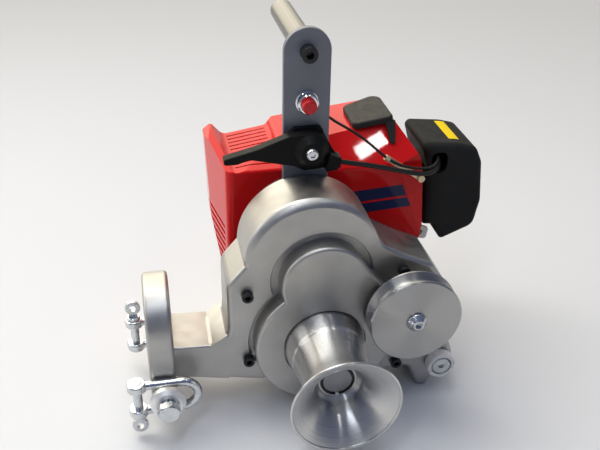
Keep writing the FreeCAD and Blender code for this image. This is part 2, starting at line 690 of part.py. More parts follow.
def handle_strap():
    half = strap_w / 2
    top = tube_z + half
    body = slab_y([(strap_x - half, strap_low_z, 2), (strap_x + half, strap_low_z, 2),
                   (strap_x + half, top, half - 0.01), (strap_x - half, top, half - 0.01)],
                  plate_y, plate_y + strap_t)
    body = rounded(body, 0.8, lambda e, m: abs(m.y - plate_y) < 0.01 or abs(m.y - plate_y - strap_t) < 0.01)
    holes = [cyl(strap_x, tube_z, 55, 75, 4.2), cyl(strap_x, switch_z, 55, 75, 7.6),
             cyl(lever_x, lever_z, 55, 75, lever_pin_r + 0.1)]
    holes += [cyl(x, strap_screw_z, 55, 75, screw_r + 0.2) for x in strap_screw_xs]
    return body.cut(merged(holes))


def strap_screws():
    seat = plate_y + strap_t
    return Part.Compound([cap_screw(x, strap_screw_z, seat + 6, seat, 57, 5.0, screw_r - 0.05, 5.0, -1.0)
                          for x in strap_screw_xs])


def handle_tube():
    y0 = plate_y + strap_t
    y1 = y0 + tube_l
    return turned(strap_x, tube_z, [(4.02, y0, 0), (tube_r - 0.8, y0, 0), (tube_r, y0 + 0.8, 0),
                                    (tube_r, y1 - 0.8, 0), (tube_r - 0.8, y1, 0), (8, y1, 0),
                                    (8, y0 + 22, 0), (4.02, y0 + 22, 0)])


def handle_bolt():
    return cap_screw(strap_x, tube_z, plate_y - 9.6, plate_y, plate_y + 26, 6.6, 4.0, 6.0)


def switch_body():
    """Stop switch: knurled bezel in front of the strap, threaded barrel and nut behind it."""
    y = plate_y
    barrel = turned(strap_x, switch_z, [(6.3, y - 7.5, 0), (7.6, y - 7.5, 0), (8.6, y - 6.5, 0),
                                        (8.6, y - 1, 0), (9.4, y - 0.8, 0), (9.4, y, 0), (7.5, y, 0),
                                        (7.5, y + 17, 0), (2.5, y + 19, 0), (0, y + 19, 0),
                                        (0, y + 3, 0), (6.3, y + 3, 0)])
    nut = hexagon(strap_x, switch_z, y + strap_t, y + strap_t + 3, 19.0)
    return barrel.fuse(nut.cut(cyl(strap_x, switch_z, 50, 90, 7.4))).removeSplitter()


def stop_button():
    y = plate_y
    return turned(strap_x, switch_z, [(0, y - 14, 0), (6, y - 14, 2), (6, y - 1, 0), (0, y - 1, 0)])


# throttle lever seen from the front, about its pivot, as (x, z, corner radius)
lever_outline = [(-71, -3, 2), (-71, -8, 2), (-60, -8, 2), (-50, -4.5, 5), (-12, -13.5, 10),
                 (12, -16, 12), (16, 0, 14), (10, 15.5, 12), (-17, 14, 10), (-44, 4, 14)]
bracket_outline = [(-16, -15, 3), (-3, -22, 4), (20, -20, 3), (23, -8, 3), (13, 10, 4), (11, 16.5, 4),
                   (-12, 16.5, 4), (-19, 8, 4)]
lever_y = (46.5, 55.6)
bracket_y = (56.0, 61.0)


def throttle_bracket():
    plate = slab_y([(lever_x + a, lever_z + b, r) for a, b, r in bracket_outline], bracket_y[0], bracket_y[1])
    lug = slab_y([(lever_x + a, lever_z + b, 1.5) for a, b in ((13, -21), (24, -19.5), (25, -9), (17, -5))],
                 48, bracket_y[1])
    post = block(strap_x + 24.5, strap_x + 27.5, 49.5, 60.5, lever_z - 18.5, lever_z - 9)
    body = merged([plate, lug, post])
    body = body.cut(cyl(lever_x, lever_z, 40, 70, lever_pin_r + 0.1))
    return body.cut(rod(V(-20, 54.5, lever_z - 14), V(40, 54.5, lever_z - 14), 1.2))


def throttle_lever():
    """Hand lever: long tapered blade with a raised hub round the pivot."""
    x = lever_x
    bore = lever_pin_r + 0.06
    blade = slab_y([(x + a, lever_z + b, r) for a, b, r in lever_outline], lever_y[0], lever_y[1])
    blade = rounded(blade, 1.2, lambda e, m: abs(m.y - lever_y[0]) < 0.01)
    hub = turned(x, lever_z, [(bore, 40, 0), (8.5, 40, 1.5), (14.5, 47, 0), (14.5, 50, 0), (bore, 50, 0)])
    body = blade.cut(cyl(x, lever_z, 30, 70, bore)).fuse(hub).removeSplitter()
    keep_clear = block(x + 11.5, x + 40, 40, 70, lever_z - 40, lever_z - 3.5)
    return body.cut(keep_clear)


def lever_screw():
    screw = turned(lever_x, lever_z, [(0, 37.4, 0), (4.2, 37.4, 1.2), (5.2, 39.7, 0), (lever_pin_r, 39.7, 0),
                                      (lever_pin_r, 72, 0), (0, 72, 0)])
    return screw.cut(hexagon(lever_x, lever_z, 36, 38.8, 4.0))


# cord routes, hand placed
cable_r = 2.2
cable_route = [V(20.9, 55, 148.5), V(31, 56.5, 145.3), V(44, 60, 141.2), V(54, 63, 137.4), V(64, 66, 133.5),
               V(74.5, 68.5, 129.4), V(84.5, 70.8, 125.7), V(93, 72.4, 122.8), V(102, 73.6, 120.6),
               V(110, 76.4, 119.4), V(116.5, 81.8, 118.9), V(121.5, 88.8, 118.6), V(125, 96.4, 118.4),
               V(127.4, 103.4, 118.3)]
wire_r = 1.2
wire_route = [V(strap_x, 80.4, 201), V(strap_x, 87, 200.3), V(-5, 93.2, 196.8), V(0, 96.4, 191.2),
              V(6.5, 95.6, 184.6), V(13, 91, 178.6), V(20.5, 84.6, 173.2), V(31, 79.6, 168.0),
              V(42, 75.4, 161.6), V(51, 72.8, 154.4), V(59, 71.8, 147), V(67.3, 72, 139.6),
              V(75.5, 73, 133.4), V(84.5, 74.2, 129.2), V(94, 75, 126.4), V(103, 76.2, 124.4),
              V(110.5, 79.2, 123.4), V(117, 84.6, 122.9), V(121.8, 91.2, 122.6), V(125, 98, 122.4),
              V(127.2, 104.2, 122.3)]
clip_start = V(70.5, 79, 135.6)
clip_end = V(102.8, 79, 113.6)


def throttle_cable():
    return pipe_run(cable_route, cable_r)


def stop_wire():
    return pipe_run(wire_route, wire_r)


def cable_clip():
    """Flat strip screwed to the shroud behind the cable, its upper end looped round the stop wire."""
    run = clip_end - clip_start
    turn = math.degrees(math.atan2(run.z, run.x))
    strip = slab_y([(-3, -2.4, 2.3), (run.Length + 3.5, -2.4, 2.3), (run.Length + 3.5, 2.4, 2.3),
                    (-3, 2.4, 2.3)], -0.6, 0.6)
    strip.rotate(V(0, 0, 0), along_y, -turn)
    strip.translate(clip_start)
    wire_at = wire_route[11]
    wire_run = (wire_route[12] - wire_route[10]).normalize()
    eye = rod(wire_at - wire_run * 2, wire_at + wire_run * 2, 2.6)
    tongue = rod(wire_at, clip_start + along_y * 0.3, 1.6)
    head = cyl(clip_end.x, clip_end.z, clip_end.y - 2.4, clip_end.y, 3.2)
    shank = cyl(clip_end.x, clip_end.z, clip_end.y, shroud_y0 + 5, 1.5)
    body = merged([strip, eye, tongue, head, shank])
    return body.cut(rod(wire_at - wire_run * 8, wire_at + wire_run * 8, wire_r + 0.3))


# engine axes: the cylinder leans towards +X
lean = math.radians(cylinder_tilt)
bore_dir = V(math.sin(lean), 0, math.cos(lean))
crank_at = V(crank_x, 0, crank_z)


def up_bore(distance):
    return crank_at + bore_dir * distance + V(0, cylinder_y, 0)


crankpin = 14.0
rod_length = 40.0
inlet_x = 53.0
inlet_z = 89.0
bore_r = 19.0
main_journal_r = 10.0
crankpin_r = 7.5
gudgeon_r = 5.0
web_spans = ((121.0, 130.0), (142.0, 151.0))


def crankcase():
    outer = cyl(crank_x, crank_z, 88, 158, 36)
    base = block(crank_x - 34, crank_x + 34, 96, 154, tank_top, crank_z - 20)
    collar = rod(up_bore(16), up_bore(36), 25)
    flange = cyl(crank_x, crank_z, 88, 93, bell_flange_r)
    body = merged([outer, base, collar, flange])
    hollow = merged([cyl(crank_x, crank_z, 119, 153, 29), rod(up_bore(0), up_bore(37), bore_r + 1.5),
                     block(crank_x - 26, crank_x + 26, 104, 146, tank_top + 6, 34)])
    journals = merged([cyl(crank_x, crank_z, y0, y1, main_journal_r + run_gap)
                       for y0, y1 in ((86, 120), (152, 160))])
    bolts = merged([cyl(x, z, 87, 101, 2.0) for x, z in bell_spots()])
    return body.cut(hollow).cut(journals).cut(bolts)


def crankshaft():
    front = turned(crank_x, crank_z, [(0, 72, 0), (8, 72, 0), (8, 87, 0), (main_journal_r, 87, 0),
                                      (main_journal_r, 122, 0), (0, 122, 0)])
    rear = turned(crank_x, crank_z, [(0, 150, 0), (main_journal_r, 150, 0), (main_journal_r, 159, 0),
                                     (8, 159, 0), (8, 176, 0), (0, 176, 0)])
    webs = [cyl(crank_x, crank_z, y0, y1, 27) for y0, y1 in web_spans]
    at = crank_at + bore_dir * crankpin
    pin = cyl(at.x, at.z, web_spans[0][0], web_spans[1][1], crankpin_r)
    return merged([front, rear, pin] + webs)


def connecting_rod():
    big = crank_at + bore_dir * crankpin
    small = crank_at + bore_dir * (crankpin + rod_length)
    y0 = cylinder_y - 5.5
    y1 = cylinder_y + 5.5
    shank = rod(up_bore(crankpin), up_bore(crankpin + rod_length), 4.5)
    body = merged([shank, cyl(big.x, big.z, y0, y1, 12), cyl(small.x, small.z, y0, y1, 8.5)])
    eyes = merged([cyl(big.x, big.z, 110, 170, crankpin_r + run_gap),
                   cyl(small.x, small.z, 110, 170, gudgeon_r + run_gap)])
    return body.cut(eyes)


def piston():
    pin_at = crankpin + rod_length
    skirt = rod(up_bore(pin_at - 10), up_bore(pin_at + 11), bore_r - 0.05)
    hollow = rod(up_bore(pin_at - 12), up_bore(pin_at + 9), bore_r - 3.5)
    body = skirt.cut(hollow)
    for level in (4.0, 7.5):
        groove = rod(up_bore(pin_at + level), up_bore(pin_at + level + 1.5), bore_r + 1)
        body = body.cut(groove.cut(rod(up_bore(pin_at), up_bore(pin_at + 14), bore_r - 1.2)))
    at = crank_at + bore_dir * pin_at
    return body.fuse(cyl(at.x, at.z, cylinder_y - 17, cylinder_y + 17, gudgeon_r)).removeSplitter()


def cylinder():
    """Barrel with square cooling fins and the inlet port on its lower side."""
    body = rod(up_bore(36.2), up_bore(72), bore_r + 4)
    fin = FreeCAD.Rotation(along_z, bore_dir)
    fins = []
    for i in range(7):
        plate = slab_z([(-25, -24, 8), (25, -24, 8), (25, 24, 8), (-25, 24, 8)], 0, 2)
        plate.Placement = FreeCAD.Placement(up_bore(39 + 4.6 * i), fin)
        fins.append(plate)
    port = rod(V(crank_x + 45, cylinder_y, inlet_z), V(inlet_x, cylinder_y, inlet_z), 10)
    body = merged([body, port] + fins)
    body = body.cut(rod(up_bore(36), up_bore(66), bore_r)).cut(rod(up_bore(65), up_bore(80), 5.0))
    return body.cut(rod(V(crank_x + 40, cylinder_y, inlet_z), V(inlet_x + 1, cylinder_y, inlet_z), 7))


def spark_plug():
    return merged([rod(up_bore(67), up_bore(72), 4.95), rod(up_bore(72), up_bore(77), 8.5),
                   rod(up_bore(77), up_bore(84), 6), rod(up_bore(84), up_bore(93), 4)])


# plug cap: lid seen from above as (x, y, corner radius), its top sloped like the roof under it
cap_outline = [(44.5, 102.3, 6), (83, 104.6, 6), (83.7, 162, 9), (45.4, 146.5, 6)]
cap_t = 5.4
roof_rise = 0.125
roof_z = 148.5


def plug_cap():
    """Rubber plug cap: sloped lid, boot on the plug and the tapered lead that drops in front of it."""
    lean_back = -math.degrees(math.atan(roof_rise))
    lid = slab_z([(x, y, r) for x, y, r in cap_outline], 0, cap_t)
    lid = rounded(lid, 2.2, lambda e, m: m.z > cap_t - 0.01)
    lid.rotate(V(0, 0, 0), along_y, lean_back)
    lid.translate(V(0, 0, roof_z + 0.5))
    boot = rod(up_bore(78), up_bore(102), 9)
    corners = [V(73.6, 104.8, 160.6), V(83.2, 104.8, 160.6), V(80.8, 92.6, 144.0), V(76.4, 92.6, 144.0)]
    lead = Part.Face(Part.makePolygon(corners + corners[:1])).extrude(V(0, 1.4, -1.0))
    room = merged([rod(up_bore(70), up_bore(77.3), 12), rod(up_bore(77), up_bore(84), 6.02),
                   rod(up_bore(84), up_bore(93), 4.02)])
    return merged([lid, boot, lead]).cut(room)


def flywheel():
    disc = cyl(crank_x, crank_z, 161, 166, flywheel_r)
    rim = ring(crank_x, crank_z, 161, 170, flywheel_r, flywheel_r - 5)
    hub = cyl(crank_x, crank_z, 160, 172, 15)
    fins = []
    for i in range(12):
        fin = block(18, flywheel_r - 8, 165, 173, -1, 1)
        fin.rotate(V(0, 0, 0), along_y, 30 * i)
        fin.translate(V(crank_x, 0, crank_z))
        fins.append(fin)
    body = merged([disc, rim, hub] + fins)
    return body.cut(cyl(crank_x, crank_z, 150, 180, 8.0))


def clutch_hub():
    return ring(crank_x, crank_z, 72, 82, 13, 8.0)


def clutch_shoes():
    """Two centrifugal shoes with their linings, held in by a garter spring groove."""
    band = ring(crank_x, crank_z, 72.5, 81.5, 32, 14.5)
    band = band.cut(ring(crank_x, crank_z, 76, 78, 40, 30.5))
    gap = block(crank_x - 4, crank_x + 4, 70, 84, crank_z - 40, crank_z + 40)
    return Part.Compound(band.cut(gap).Solids)


# engine shroud seen from the front, as (x, z, corner radius); the right part steps up over the cylinder
shroud_outline = [(-72, 0, 6), (-82, 60, 10), (-84.5, 137.5, 3), (-77, 143.4, 3), (-66, 131, 9),
                  (-25.5, 138, 7), (-20, 146, 5), (83.5, 159, 4), (104, 131, 8), (107, 116, 8),
                  (109.5, 64, 6), (106, 45, 4),
                  (92, 56, 4), (60, 24, 10), (52, 0, 6)]
split_x = -23.0
# roof lines from the side, as (y, z): left of split_x and right of it
left_roof = [(80, 132.5), (100, 135), (165, 143.4)]
right_roof = [(80, 128), (113, 161)]
left_wall = [(-72, 80), (-84.5, 152)]
corner_r = 7.0
roof_edge_r = 2.5
slope_edge_r = 4.0
roof_bend_r = 5.0
# the front wall's right end turns back along a slanted fold
fold_points = [V(87, 80, 115), V(108.6, 80, 48.3), V(108, 86.1, 107.6)]
# saddle line from the front, as (x, z), and the grooves across it
saddle = [(-66, 131), (-25.5, 138)]
groove_count = 10
groove_pitch = 7.4
groove_width = 1.9
groove_depth = 1.3
louvre_count = 10
louvre_pitch = 6.6


def on_line(line, at):
    """Height of a line of points at one place, the first and last runs going on."""
    i = 0
    while i < len(line) - 2 and at > line[i + 1][0]:
        i += 1
    (a, za), (b, zb) = line[i], line[i + 1]
    return za + (zb - za) * (at - a) / (b - a)


def under(roof, x0, x1, drop, inset, edge_r, bend_r):
    """Everything behind the front wall and under a roof line between two x planes, its edges rounded."""
    front = shroud_y0 + inset
    far = roof[-1][0] + 60
    points = [(front, -20, 0), (front, on_line(roof, front) - drop, max(edge_r - inset, 0))]
    points += [(y, z - drop, max(bend_r - inset, 0)) for y, z in roof[1:]]
    points += [(far, roof[-1][1] - drop, 0), (far, -20, 0)]
    return slab_x(points, x0, x1)


def behind_fold(inset):
    """A thick wedge in front of the folded end of the front wall, moved in by inset."""
    a, b, c = fold_points
    along = (b - a).normalize()
    out = (b - a).cross(c - a).normalize()
    if out.y > 0:
        out = out * -1
    across = along.cross(out)
    if across.x < 0:
        across = across * -1
    foot = a - out * inset
    start = foot - along * 60
    end = foot + along * 140
    corners = [start, end, end + across * 60, start + across * 60]
    return Part.Face(Part.makePolygon(corners + corners[:1])).extrude(out * 30)


def shroud_body(inset):
    """Outer form of the engine shroud, drawn in by inset on every wall."""
    wire = loop(shroud_outline, lambda a, b: V(a, shroud_y0 - 1, b))
    if inset > 0:
        wire = wire.makeOffset2D(-inset)
    body = Part.Face(wire).extrude(V(0, shroud_y1 - shroud_y0 + 2, 0))
    front = shroud_y0 + inset
    rear = shroud_y1 - inset
    (x0, wall_y0), (x1, wall_y1) = left_wall
    wall_x = x0 + (x1 - x0) * inset / (wall_y1 - wall_y0)
    plan = slab_z([(wall_x + inset, front, corner_r - inset), (130, front, 0), (130, rear, 0),
                   (x1 + inset, rear, 0), (x1 + inset, wall_y1, 0)], -40, 240)
    split = split_x + inset
    roofs = merged([under(left_roof, -120, split, inset, inset, roof_edge_r, 0),
                    under(right_roof, split, 200, inset * math.sqrt(2), inset, slope_edge_r, roof_bend_r)])
    return body.common(plan).common(roofs).cut(behind_fold(inset))


def saddle_groove(y):
    """Shallow groove across the saddle; its floor follows the saddle or the roof line, the lower one."""
    x0 = saddle[0][0] + 3
    x1 = saddle[1][0] - 2
    lid = on_line(left_roof, y)
    meet = saddle[0][0] + (lid - saddle[0][1]) / (saddle[1][1] - saddle[0][1]) * (saddle[1][0] - saddle[0][0])
    steps = [x0, meet, x1] if x0 + 1 < meet < x1 - 1 else [x0, x1]
    floor = [(x, min(on_line(saddle, x), lid) - groove_depth, 0) for x in steps]
    return slab_y(floor + [(x1, 170, 0), (x0, 170, 0)], y, y + groove_width)


def engine_shroud():
    """Moulded cooling shroud: ribbed saddle on the left, sloped tower over the cylinder on the right."""
    outer = shroud_body(0)
    under_open = block(-60, 45, shroud_y0 + shroud_t, shroud_y1 - shroud_t, -10, 10)
    shell = outer.cut(shroud_body(shroud_t).fuse(under_open))
    cuts = [cyl(crank_x, crank_z, 70, 90, bell_flange_r + 0.5),
            cyl(crank_x, crank_z, 160, 170, starter_r - 7)]
    for i in range(louvre_count):
        z = 12 + louvre_pitch * i
        cuts.append(slab_x([(91, z, 1.4), (149, z, 1.4), (149, z + 3, 1.4), (91, z + 3, 1.4)], -95, -64))
    cuts.append(block(86, 120, 104, 158, 38, 112))
    cuts.append(block(46, 79, 118, 144, 130, 190))
    cuts.append(cyl(clip_end.x, clip_end.z, 70, 90, 1.6))
    cuts += [saddle_groove(90 + groove_pitch * i) for i in range(groove_count)]
    return shell.cut(merged(cuts))


def muffler():
    can = slab_x([(100, 104, 6), (154, 104, 6), (154, 128, 6), (100, 128, 6)], -72, -42)
    return can.fuse(rod(V(-43, cylinder_y, 120.2), V(-10, cylinder_y, 120.2), 5.5)).removeSplitter()


def carburettor():
    """Body with its inlet neck, bowl and lever at the gap beside the shroud."""
    body = slab_y([(88, 68, 3), (115, 68, 3), (115, 106, 3), (88, 106, 3)], 110, 150)
    bowl = slab_y([(90, 48, 4), (117.6, 46, 4), (117.6, 70, 2), (90, 70, 2)], 108, 142)
    lever = slab_y([(104, 36, 3), (124, 32, 3), (126, 44, 3), (112, 50, 3)], 105, 107.5)
    spindle = cyl(114, 44, 105, 122, 4)
    stop_screw = merged([cyl(118, 39, 102.6, 106, 2.8), cyl(118, 39, 101.2, 103, 1.6)])
    neck = rod(V(inlet_x + 0.3, cylinder_y, inlet_z), V(90, cylinder_y, inlet_z), 10)
    whole_body = merged([body, bowl, lever, spindle, stop_screw, neck])
    return whole_body.cut(rod(V(40, cylinder_y, inlet_z), V(130, cylinder_y, inlet_z), 7))


# air filter cover seen from the front
cover_outline = [(118.5, 50, 2), (127, 49, 1), (138.5, 31, 3), (171, 45, 12), (175.54, 72, 20),
                 (171.2, 113, 12), (164, 129, 12), (146, 133.5, 8), (110, 137, 5), (118.5, 108, 6)]


def filter_cover():
    wire = loop(cover_outline, lambda a, b: V(a, cover_y0, b))
    body = Part.Face(wire).extrude(V(0, cover_y1 - cover_y0, 0))

    def outer_front(edge, m):
        return abs(m.y - cover_y0) < 0.01 and (m.z > 120 or m.x > 150) and m.x > 122

    body = rounded(body, 6.0, outer_front)
    inner = Part.Face(loop(cover_outline, lambda a, b: V(a, cover_y0 + 2.5, b)).makeOffset2D(-2.6))
    room = inner.extrude(V(0, cover_y1 - cover_y0 - 5, 0))
    port = block(105, 122, 106, 152, 60, 108)
    hole = slab_y([(120, 106, 6), (136, 106, 7), (136, 127, 7), (120, 127, 6)], 90, 116)
    return body.cut(room).cut(port).cut(hole)


def filter_element():
    return slab_y([(134, 58, 6), (160, 62, 6), (164, 100, 6), (134, 100, 6)], 112, 152)


def starter_housing():
    """Recoil starter cup with cooling slots and the rope's outlet bush."""
    y0 = shroud_y1
    y1 = y0 + 36
    r = starter_r
    skin = [(0, y1, 0), (r - 16, y1, 6), (r - 2, y1 - 18, 10), (r, y0, 0)]
    lining = [(r - 3, y0, 0), (r - 5, y1 - 19, 8), (r - 17, y1 - 3, 4), (0, y1 - 3, 0)]
    cup = turned(crank_x, crank_z, skin + lining)
    room = turned(crank_x, crank_z, lining + [(0, y0, 0)])
    outlet = V(crank_x + 30, y0 + 21, crank_z)
    bush = rod(outlet + along_z * 30, outlet + along_z * 50, 7).cut(room)
    post = cyl(crank_x, crank_z, y0 + 13, y1 - 2, 6)
    body = merged([cup, bush, post])
    slots = []
    for i in range(12):
        slot = slab_y([(11, -1.4, 1.3), (24, -2.6, 2.2), (24, 2.6, 2.2), (11, 1.4, 1.3)], y0 + 30, y0 + 42)
        slot.rotate(V(0, 0, 0), along_y, 30 * i + 15)
        slot.translate(V(crank_x, 0, crank_z))
        slots.append(slot)
    slots.append(rod(outlet + along_z * 25, outlet + along_z * 70, 3))
    return body.cut(merged(slots))


def starter_pulley():
    y0 = shroud_y1 + 15
    return turned(crank_x, crank_z, [(6.06, y0, 0), (28, y0, 0), (28, y0 + 2, 0), (22, y0 + 3.5, 0),
                                     (22, y0 + 6.5, 0), (28, y0 + 8, 0), (28, y0 + 10, 0),
                                     (6.06, y0 + 10, 0)])


tank_x = (-64.0, 78.0)
tank_y = (95.0, 185.0)
cap_at = V(46, 176, -20)
cap_dir = V(0, 1, 1).normalize()


def fuel_tank():
    body = slab_z([(tank_x[0], tank_y[0], 14), (tank_x[1], tank_y[0], 14), (tank_x[1], tank_y[1], 14),
                   (tank_x[0], tank_y[1], 14)], floor_z, tank_top)
    body = rounded(body, 6, lambda e, m: m.z > tank_top - 0.01)
    body = rounded(body, 3, lambda e, m: m.z < floor_z + 0.01)
    inner = slab_z([(tank_x[0] + 3, tank_y[0] + 3, 11), (tank_x[1] - 3, tank_y[0] + 3, 11),
                    (tank_x[1] - 3, tank_y[1] - 3, 11), (tank_x[0] + 3, tank_y[1] - 3, 11)],
                   floor_z + 3, tank_top - 4)
    neck = Part.makeCylinder(15, 22, cap_at - cap_dir * 6, cap_dir)
    body = body.fuse(neck).removeSplitter().cut(inner)
    return body.cut(Part.makeCylinder(11, 40, cap_at - cap_dir * 14, cap_dir))


def fuel_cap():
    base = cap_at + cap_dir * 16.3
    cap = Part.makeCylinder(18, 11, base, cap_dir)
    cap = rounded(cap, 2.5, lambda e, m: len(e.Vertexes) == 1 and (m - base).dot(cap_dir) > 5)
    plug = Part.makeCylinder(10.5, 8, base - cap_dir * 7.5, cap_dir)
    body = cap.fuse(plug).removeSplitter()
    across = cap_dir.cross(along_x)
    for i in range(12):
        angle = math.radians(30 * i)
        spot = base + along_x * (19 * math.cos(angle)) + across * (19 * math.sin(angle))
        body = body.cut(Part.makeCylinder(2.2, 30, spot - cap_dir * 5, cap_dir))
    return body


def engine_bolts():
    return Part.Compound([cap_screw(x, z, 80.5, 84, 100, 2.8, 1.95, 2.5) for x, z in bell_spots()])


nodes = {
    "gear_housing": gear_housing(),
    "clutch_housing": clutch_housing(),
    "housing_gasket": housing_gasket(),
    "housing_screws": housing_screws(),
    "shaft_bearings": shaft_bearings(),
    "capstan_seal": capstan_seal(),
    "capstan_drum": capstan_drum(),
    "capstan_shaft": capstan_shaft(),
    "drum_circlip": drum_circlip(),
    "output_gear": output_gear(),
    "intermediate_shaft": intermediate_shaft(),
    "intermediate_gear": intermediate_gear(),
    "clutch_drum": clutch_drum(),
    "clutch_hub": clutch_hub(),
    "clutch_shoes": clutch_shoes(),
    "rope_pulley": rope_pulley(),
    "pulley_bearing": pulley_bearing(),
    "pulley_bolt": pulley_bolt(),
    "pulley_spacer": pulley_spacer(),
    "rope_roller": rope_roller(),
    "roller_screw": roller_screw(),
    "anchor_spools": anchor_spools(),
    "anchor_washers": anchor_washers(),
    "anchor_bolts": anchor_bolts(),
    "front_shackle": shackle(-neck_l / 2),
    "front_shackle_pin": shackle_pin(-neck_l / 2, -1),
    "rear_shackle": shackle(2 * anchor_mid_y + neck_l / 2),
    "rear_shackle_pin": shackle_pin(2 * anchor_mid_y + neck_l / 2, 1),
    "handle_strap": handle_strap(),
    "strap_screws": strap_screws(),
    "handle_tube": handle_tube(),
    "handle_bolt": handle_bolt(),
    "switch_body": switch_body(),
    "stop_button": stop_button(),
    "throttle_bracket": throttle_bracket(),
    "throttle_lever": throttle_lever(),
    "lever_screw": lever_screw(),
    "throttle_cable": throttle_cable(),
    "stop_wire": stop_wire(),
    "cable_clip": cable_clip(),
    "crankcase": crankcase(),
    "crankshaft": crankshaft(),
    "connecting_rod": connecting_rod(),
    "piston": piston(),
    "cylinder": cylinder(),
    "spark_plug": spark_plug(),
    "plug_cap": plug_cap(),
    "flywheel": flywheel(),
    "engine_shroud": engine_shroud(),
    "muffler": muffler(),
    "carburettor": carburettor(),
    "filter_cover": filter_cover(),
    "filter_element": filter_element(),
    "starter_housing": starter_housing(),
    "starter_pulley": starter_pulley(),
    "fuel_tank": fuel_tank(),
    "fuel_cap": fuel_cap(),
    "engine_bolts": engine_bolts(),
}

whole = FreeCAD.BoundBox()
for name, shape in nodes.items():
    shape.translate(V(-origin_x, -origin_y, -floor_z))
    shape.exportStep("parts/" + name + ".step")
    whole.add(shape.optimalBoundingBox(False, False))
    if not shape.isValid() or shape.Volume <= 0:
        print("not a sound solid:", name)
print("box", [round(v, 2) for v in (whole.XMin, whole.XMax, whole.YMin, whole.YMax, whole.ZMin, whole.ZMax)])
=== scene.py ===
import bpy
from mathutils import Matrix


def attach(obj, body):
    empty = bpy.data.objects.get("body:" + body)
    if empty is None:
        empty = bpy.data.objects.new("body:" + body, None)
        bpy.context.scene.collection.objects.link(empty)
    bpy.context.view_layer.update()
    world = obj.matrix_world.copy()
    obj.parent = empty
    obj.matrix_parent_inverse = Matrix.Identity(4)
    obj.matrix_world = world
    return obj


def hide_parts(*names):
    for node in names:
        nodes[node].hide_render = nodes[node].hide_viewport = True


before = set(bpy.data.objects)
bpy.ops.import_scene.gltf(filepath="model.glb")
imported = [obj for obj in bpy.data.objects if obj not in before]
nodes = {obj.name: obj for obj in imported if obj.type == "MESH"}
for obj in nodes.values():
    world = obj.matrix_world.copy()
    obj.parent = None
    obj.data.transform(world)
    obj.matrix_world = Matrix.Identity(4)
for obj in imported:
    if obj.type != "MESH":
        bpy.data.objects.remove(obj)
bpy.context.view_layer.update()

import math
import bpy
import numpy as np
from mathutils import Matrix, Vector

scene = bpy.context.scene
drawingOrigin = np.array([2.325, 63.635, -72.0])  # where the row frame's origin sits in the drawing, mm
print("loaded", len(nodes), "nodes")


def toRow(points):
    # drawing millimetres to row metres: take off the drawing's origin, then divide by 1000
    return (np.asarray(points, float) - drawingOrigin) / 1000.0


# camera, sky, lamps and floor come first
shot = {
    "place": (-0.138485, -0.599355, 0.51862),
    "right": (0.98055, -0.19565, 0.01578),
    "up": (0.08620, 0.50150, 0.86080),
    "ahead": (0.1763, 0.8427, -0.5086),
    "lens": 48.6036,
    "sensor": 36.0,
    "nearest": 0.02,
}


def setCamera():
    data = bpy.data.cameras.new("shotCamera")
    data.sensor_fit = "HORIZONTAL"
    data.sensor_width = shot["sensor"]
    data.lens = shot["lens"]
    data.clip_start = shot["nearest"]
    camera = bpy.data.objects.new("shotCamera", data)
    turn = Matrix((shot["right"], shot["up"], -Vector(shot["ahead"]))).transposed()
    camera.matrix_world = Matrix.Translation(shot["place"]) @ turn.to_4x4()
    scene.collection.objects.link(camera)
    scene.camera = camera


def addNode(tree, kind, inputs=None, **settings):
    node = tree.nodes.new(kind)
    for key, value in settings.items():
        setattr(node, key, value)
    for key, value in (inputs or {}).items():
        if isinstance(value, bpy.types.NodeSocket):
            tree.links.new(value, node.inputs[key])
        else:
            node.inputs[key].default_value = value
    return node


def fillRamp(ramp, stops):
    stops = list(stops)
    bar = ramp.color_ramp.elements
    while len(bar) < len(stops):
        bar.new(0.5)
    for element, (at, colour) in zip(bar, stops):
        element.position = at
        element.color = (*colour, 1.0)


sky = {
    "lean": (-0.26, 0.80, 0.541),  # the bright side: behind and left, a third of the way up
    "stops": [(0.0, (0.022, 0.028, 0.050)), (0.48, (0.048, 0.058, 0.092)), (0.70, (0.088, 0.095, 0.116)),
              (0.85, (0.24, 0.23, 0.205)), (0.95, (0.94, 0.87, 0.71)), (1.0, (1.0, 0.935, 0.78))],
    "strength": 2.85,
}


def setSky():
    # one ramp over the dot product of the direction and the bright side
    world = bpy.data.worlds.new("studioSky")
    scene.world = world
    world.use_nodes = True
    tree = world.node_tree
    back = tree.nodes["Background"]
    coords = addNode(tree, "ShaderNodeTexCoord")
    facing = addNode(tree, "ShaderNodeVectorMath", {0: coords.outputs["Generated"], 1: sky["lean"]},
                     operation="DOT_PRODUCT")
    span = addNode(tree, "ShaderNodeMapRange", {"Value": facing.outputs["Value"],
                                                "From Min": -1.0, "From Max": 1.0})
    ramp = addNode(tree, "ShaderNodeValToRGB", {"Fac": span.outputs["Result"]})
    fillRamp(ramp, sky["stops"])
    tree.links.new(ramp.outputs["Color"], back.inputs["Color"])
    back.inputs["Strength"].default_value = sky["strength"]


lamps = {
    "overheadBox": {"place": (-0.42, 0.30, 1.42), "aim": (0.0, 0.0, 0.1), "size": (0.45, 1.4),
                    "watts": 10.0, "colour": (1.0, 0.99, 0.96)},
    "sideBox": {"place": (-1.30, 0.10, 0.70), "aim": (0.0, -0.05, 0.1), "size": (0.8, 0.8),
                "watts": 5.0, "colour": (1.0, 0.98, 0.92)},
    "frontStrip": {"place": (-0.28, -0.55, 1.15), "aim": (-0.02, -0.22, 0.0), "size": (0.05, 0.8),
                   "watts": 3.0, "colour": (0.86, 0.92, 1.0)},
    "smallWindow": {"place": (0.405, -0.514, 1.342), "aim": (0.058, 0.031, 0.214), "size": (0.080, 0.036),
                    "watts": 0.8, "colour": (1.0, 0.99, 0.98)},
}


